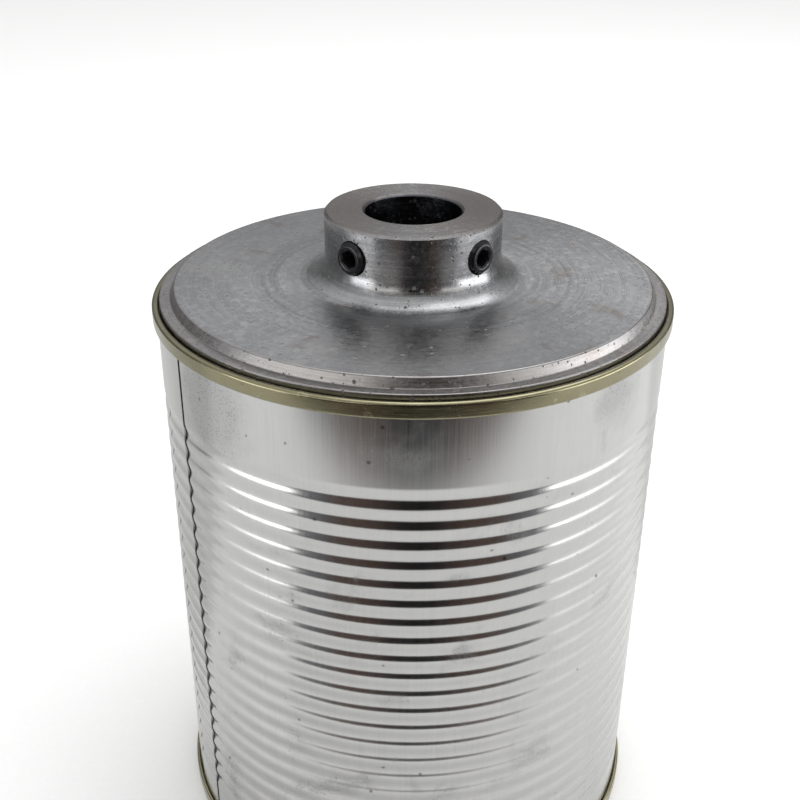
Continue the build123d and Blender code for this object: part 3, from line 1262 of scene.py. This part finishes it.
def add_card(name, material, section, start, end, steps):
    """Turn (radius, height) points part of the way round the can, as a card that only reflections see."""
    skin = bmesh.new()
    azimuths = [start + (end - start) * step / steps for step in range(steps + 1)]
    rings = []
    for radius, level in section:
        rings.append([skin.verts.new(ring_point(radius, azimuth, level)) for azimuth in azimuths])
    for low, high in zip(rings, rings[1:]):
        for step in range(steps):
            skin.faces.new((low[step], low[step + 1], high[step + 1], high[step]))
    staged(name, skin, material, only_reflected=True)


# %% Dark room
window_belt = (0.205, 0.215, 0.33, 0.35)


def make_room_material():
    """Black straight ahead, brown and then slate to the sides, where a bright belt of window is high up."""
    material, tree, shader = glowing_material("dark_room")
    round_place = effect(tree, round_grain, {"Lines round": 9.0, "Lines up per metre": 8.0, "Detail": 2.0})
    side = tree.apart(round_place["Cylinder"])[0]
    place = tree.apart(tree.here())
    sideways = tree.sum("ABSOLUTE", tree.scaled(round_place["Value"], 0.08, tree.minus(side, 0.09)))
    brown = blend(tree, tree.span(sideways, 0.10, 0.36), (0.006, 0.006, 0.007, 1), (0.105, 0.068, 0.056, 1))
    slate = blend(tree, tree.span(sideways, 0.54, 0.62), brown, (0.135, 0.140, 0.155, 1))
    belt = tree.times(tree.span(place[2], *window_belt[:2]), tree.span(place[2], *window_belt[2:], 1.0, 0.0))
    off_centre = tree.sum("ABSOLUTE", tree.minus(side, 0.15))
    window = tree.times(belt, tree.span(off_centre, 0.40, 0.47))
    tree.feed(shader["Emission Color"], blend(tree, window, slate, (2.1, 2.04, 1.95, 1)))
    near_edge = tree.span(place[1], -0.175, -0.235, smooth=True)
    side_edge = tree.span(sideways, 0.76, 0.81, 1.0, 0.0)
    tree.feed(shader["Alpha"], tree.times(near_edge, tree.most(side_edge, belt)))
    return material


room_section = [(0.15, 0.0005), (0.45, 0.0005), (0.45, 0.52)]
add_card("dark_room", make_room_material(), room_section, radians(-80), radians(80), 64)


# %% Grey corners
def make_shade_card(name, start, end, height):
    """Grey corner of the room behind the can: a curved wall, and a faint shade on the floor before it."""
    material, tree, shader = glowing_material(name)
    shader["Emission Color"].default_value = (0.24, 0.24, 0.235, 1)
    tree.feed(shader["Alpha"], tree.span(tree.apart(tree.here())[2], 0.001, 0.004, 0.35, 1.0))
    section = [(0.09, 0.0006), (0.5, 0.0006), (0.5, height)]
    add_card(name, material, section, radians(start), radians(end), 32)


make_shade_card("left_shade", -90, -165, 0.26)
make_shade_card("right_shade", 122, 175, 0.24)

# %% [markdown]
# ### Sky and lamps
# The sky is grey at the horizon and white overhead, which is what the metal mirrors. Seen straight, it
# would make a grey wall behind the can, so the Light Path node gives the camera an even pale sky
# instead. Three soft rectangular lamps, above, left and right, draw the bright bands on the walls.

# %% Sky
world = bpy.data.worlds.new("sky")
bpy.context.scene.world = world
world.use_nodes = True
world.node_tree.nodes.clear()
sky = Tree(world.node_tree)
upward = sky.apart(sky.add("ShaderNodeTexCoord").outputs["Generated"])[2]
glow = blend(sky, sky.span(upward, 0.22, 0.85, smooth=True), (0.42, 0.42, 0.43, 1), (1.1, 1.1, 1.09, 1))
to_camera = sky.add("ShaderNodeLightPath").outputs["Is Camera Ray"]
seen = blend(sky, to_camera, glow, (0.92, 0.92, 0.91, 1))
light = sky.add("ShaderNodeBackground", {"Color": seen, "Strength": 1.0})
sky.feed(sky.add("ShaderNodeOutputWorld").inputs[0], light.outputs[0])
print("sky:", len(world.node_tree.nodes), "nodes")


# %% Lamps
def add_lamp(name, place, target, width, height, watts):
    lamp = bpy.data.lights.new(name, "AREA")
    lamp.energy = watts
    lamp.shape = "RECTANGLE"
    lamp.size = width
    lamp.size_y = height
    holder = bpy.data.objects.new(name, lamp)
    holder.location = place
    holder.rotation_euler = (Vector(target) - Vector(place)).to_track_quat("-Z", "Y").to_euler()
    bpy.context.scene.collection.objects.link(holder)
    print("lamp", name, watts, "W")


add_lamp("overhead_softbox", (0.25, 0.35, 1.1), (0, 0, 0.06), 0.9, 0.9, 5.5)
add_lamp("left_softbox", (-0.85, -0.42, 0.13), (0, 0, 0.1), 0.50, 0.34, 2.2)
add_lamp("right_softbox", (0.95, -0.14, 0.16), (0, 0, 0.1), 0.85, 0.40, 4.6)
bpy.context.scene.view_settings.view_transform = "Standard"

# %% [markdown]
# ## Camera
# A normal lens looks down on the can from the front, close enough for clear perspective. Three turns
# aim it: a little to the left, down, and a slight roll.

# %% Camera
camera_data = bpy.data.cameras.new("camera")
camera_data.sensor_width = 36
camera_data.lens = 50.81
camera = bpy.data.objects.new("camera", camera_data)
camera_place = (0, -212.6 * MM, 202.9 * MM)
pitch_down = 27.30
turn_left = 0.64
roll = 0.37
aim = Matrix.Rotation(radians(turn_left), 4, "Z") @ Matrix.Rotation(radians(90 - pitch_down), 4, "X")
aim = aim @ Matrix.Rotation(radians(roll), 4, "Z")
camera.matrix_world = Matrix.Translation(camera_place) @ aim
camera_data.clip_start = 0.01
bpy.context.scene.collection.objects.link(camera)
bpy.context.scene.camera = camera
print("camera", camera_data.lens, "mm, looking down", pitch_down, "degrees")
